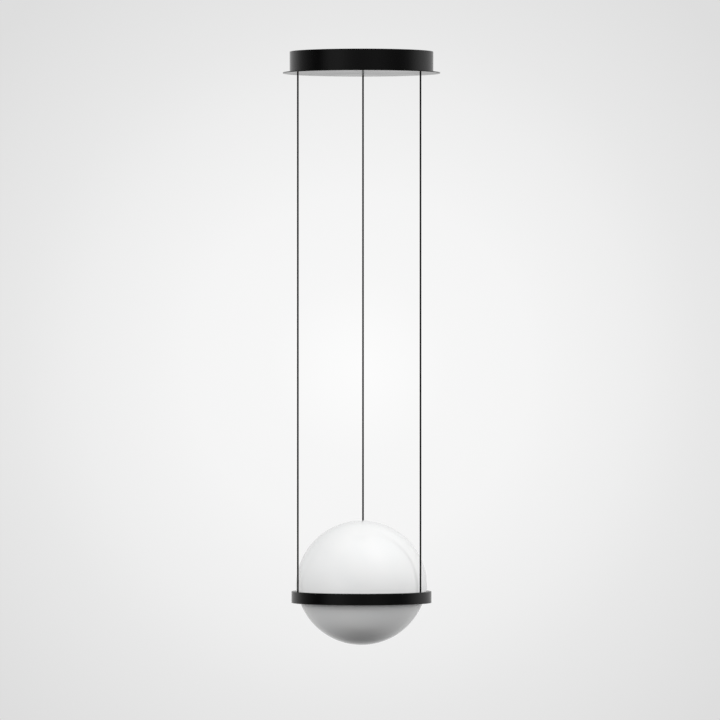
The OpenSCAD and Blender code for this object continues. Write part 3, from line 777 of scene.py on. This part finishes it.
studio = {
    # what the camera sees: a pale sweep with a soft glow, by its distance off a line a little below +Y
    "glowDrop": 0.0033, "sweepEnd": 0.08,
    "sweep": [(0.0, 0.973), (0.006, 0.955), (0.0135, 0.927), (0.026, 0.912), (0.0303, 0.896),
              (0.0424, 0.855), (0.0523, 0.807), (0.0742, 0.73)],
    # what gloss sees from front (0) to back (1), left and right: a dim room, flags, the sweep behind
    "left": [(0.0, 0.32), (0.03, 0.43), (0.09, 0.68), (0.19, 0.62), (0.335, 0.05), (0.42, 0.07),
             (0.52, 0.19), (0.6, 0.31), (0.69, 0.42), (0.78, 0.73), (0.88, 0.83), (0.97, 0.75),
             (1.0, 0.84)],
    "right": [(0.0, 0.32), (0.035, 0.40), (0.16, 0.23), (0.29, 0.17), (0.42, 0.31), (0.55, 0.82),
              (0.665, 1.00), (0.78, 0.90), (0.97, 0.68), (1.0, 0.84)],
    "sideBlend": 0.25,
    # and below: a pale floor from front to back, with a dark strip under the lamp that runs to the back
    "floor": [(0.0, 0.8), (0.6, 0.8), (0.9, 0.95), (1.0, 0.9)],
    "stripLevel": 0.03, "stripWide": (0.45, 0.12), "stripLow": (-0.35, -0.95), "stripBack": (0.0, 0.18),
    # heights at which the gloss turns from the sides to the floor and to the pale ceiling
    "floorTurn": (-0.45, -0.14), "ceilingTurn": (0.15, 0.5), "ceiling": 0.55,
    # and a soft glow high in front on the right, by the cosine of the angle off its line
    "glowWay": (0.398, -0.409, 0.822), "glowTurn": (0.89, 0.99), "glowFade": 2.0, "glowLevel": 0.5,
    # what lights the matt surfaces, from below (0) to above (1), and its share from left to right
    "sky": [(0.0, 0.04), (0.275, 0.01), (0.47, 0.02), (0.595, 2.34), (0.735, 1.14), (1.0, 0.02)],
    "across": [(0.0, 0.93), (0.5, 0.88), (1.0, 1.01)],
}


def rampNode(tree, value, stops, full=1.0):
    node = addNode(tree, "ShaderNodeValToRGB")
    line = node.color_ramp
    while len(line.elements) < len(stops):
        line.elements.new(0.5)
    for element, (at, v) in zip(line.elements, stops):
        element.position, element.color = at / full, grey(v)
    feed(tree, value, node.inputs[0])
    return node.outputs[0]


# -1 to 1 as 0 to 1
def share(tree, value):
    return times(tree, plus(tree, value, 1.0), 0.5, True)


# the sweep lies behind the lamp, so what is in front of it counts as far off the line
def cameraSees(tree, f, x, y, z):
    low = plus(tree, z, f["glowDrop"])
    off = mathNode(tree, "SQRT", plus(tree, times(tree, x, x), times(tree, low, low)))
    off = plus(tree, off, mathNode(tree, "LESS_THAN", y, 0.0))
    return rampNode(tree, mathNode(tree, "DIVIDE", off, f["sweepEnd"], True), f["sweep"], f["sweepEnd"])


def glossSees(tree, f, ray, x, y, z):
    back = share(tree, y)
    toRight = climb(tree, x, -f["sideBlend"], f["sideBlend"])
    sides = mixColour(tree, toRight, rampNode(tree, back, f["left"]), rampNode(tree, back, f["right"]))
    sides = mixColour(tree, climb(tree, z, *f["ceilingTurn"]), sides, grey(f["ceiling"]))
    near = times(tree, climb(tree, mathNode(tree, "ABSOLUTE", x), *f["stripWide"]),
                 climb(tree, z, *f["stripLow"]))
    strip = times(tree, near, climb(tree, y, *f["stripBack"]))
    shade = spread(tree, strip, 1.0, f["stripLevel"], start=0.0, end=1.0)
    below = mixColour(tree, 1.0, rampNode(tree, back, f["floor"]), shade, "MULTIPLY")
    gloss = mixColour(tree, spread(tree, z, 1.0, 0.0, *f["floorTurn"]), sides, below)
    glow = climb(tree, vectorNode(tree, "DOT_PRODUCT", ray, f["glowWay"]), *f["glowTurn"])
    glow = times(tree, mathNode(tree, "POWER", glow, f["glowFade"]), f["glowLevel"])
    return mixColour(tree, 1.0, gloss, glow, "ADD")


def mattSees(tree, f, x, z):
    return mixColour(tree, 1.0, rampNode(tree, share(tree, z), f["sky"]),
                     rampNode(tree, share(tree, x), f["across"]), "MULTIPLY")


def makeWorld(f):
    world = bpy.data.worlds.new("studio")
    scene.world = world
    world.use_nodes = True
    tree = world.node_tree
    ray = addNode(tree, "ShaderNodeTexCoord").outputs["Generated"]
    sep = addNode(tree, "ShaderNodeSeparateXYZ")
    feed(tree, ray, sep.inputs[0])
    x, y, z = sep.outputs
    rays = addNode(tree, "ShaderNodeLightPath")
    shiny = plus(tree, rays.outputs["Is Glossy Ray"], rays.outputs["Is Transmission Ray"], True)
    colour = mixColour(tree, shiny, mattSees(tree, f, x, z), glossSees(tree, f, ray, x, y, z))
    colour = mixColour(tree, rays.outputs["Is Camera Ray"], colour, cameraSees(tree, f, x, y, z))
    background = tree.nodes["Background"]
    feed(tree, colour, background.inputs["Color"])
    background.inputs["Strength"].default_value = 1.0


makeWorld(studio)

floorForm = {"height": -2050.0, "reach": 4200.0, "rows": 24, "count": 96, "fade": (0.45, 0.98),
             "pale": grey(0.80), "cloud": rgb(0.78, 0.78, 0.785), "cloudScale": 3.0,
             "bounce": grey(0.13), "shader": {"Roughness": 0.9, "Specular IOR Level": 0.1}}


# round pale floor that fades out towards its edge and can't be seen from below;
# it sends back less light than the camera sees on it
def makeFloor(f):
    r = np.linspace(0, f["reach"], f["rows"])
    profile = np.stack([r, np.full_like(r, f["height"])], -1)[::-1]
    mesh = meshFrom("floor", [turned(profile, fullTurn(f["count"]))])
    obj = bpy.data.objects.new("floor", mesh)
    scene.collection.objects.link(obj)
    obj.visible_glossy = False
    mat = bpy.data.materials.new("paleFloor")
    mat.use_nodes = True
    tree = mat.node_tree
    bsdf = tree.nodes["Principled BSDF"]
    for key, value in f["shader"].items():
        bsdf.inputs[key].default_value = value
    place = addNode(tree, "ShaderNodeTexCoord").outputs["Object"]
    cloud = climb(tree, noise(tree, place, f["cloudScale"], detail=2.0, rough=0.5))
    rays = addNode(tree, "ShaderNodeLightPath")
    colour = mixColour(tree, rays.outputs["Is Camera Ray"], f["bounce"],
                       mixColour(tree, cloud, f["pale"], f["cloud"]))
    feed(tree, colour, bsdf.inputs["Base Color"])
    away = vectorNode(tree, "LENGTH", vectorNode(tree, "MULTIPLY", place, (1, 1, 0)))
    shown = spread(tree, away, 1.0, 0.0, *(f["reach"] * mm * k for k in f["fade"]))
    geo = addNode(tree, "ShaderNodeNewGeometry")
    fromAbove = minus(tree, 1.0, geo.outputs["Backfacing"])
    feed(tree, times(tree, shown, fromAbove), bsdf.inputs["Alpha"])
    mesh.materials.append(mat)


makeFloor(floorForm)
scene.view_settings.view_transform = "Standard"
print("stage lit")
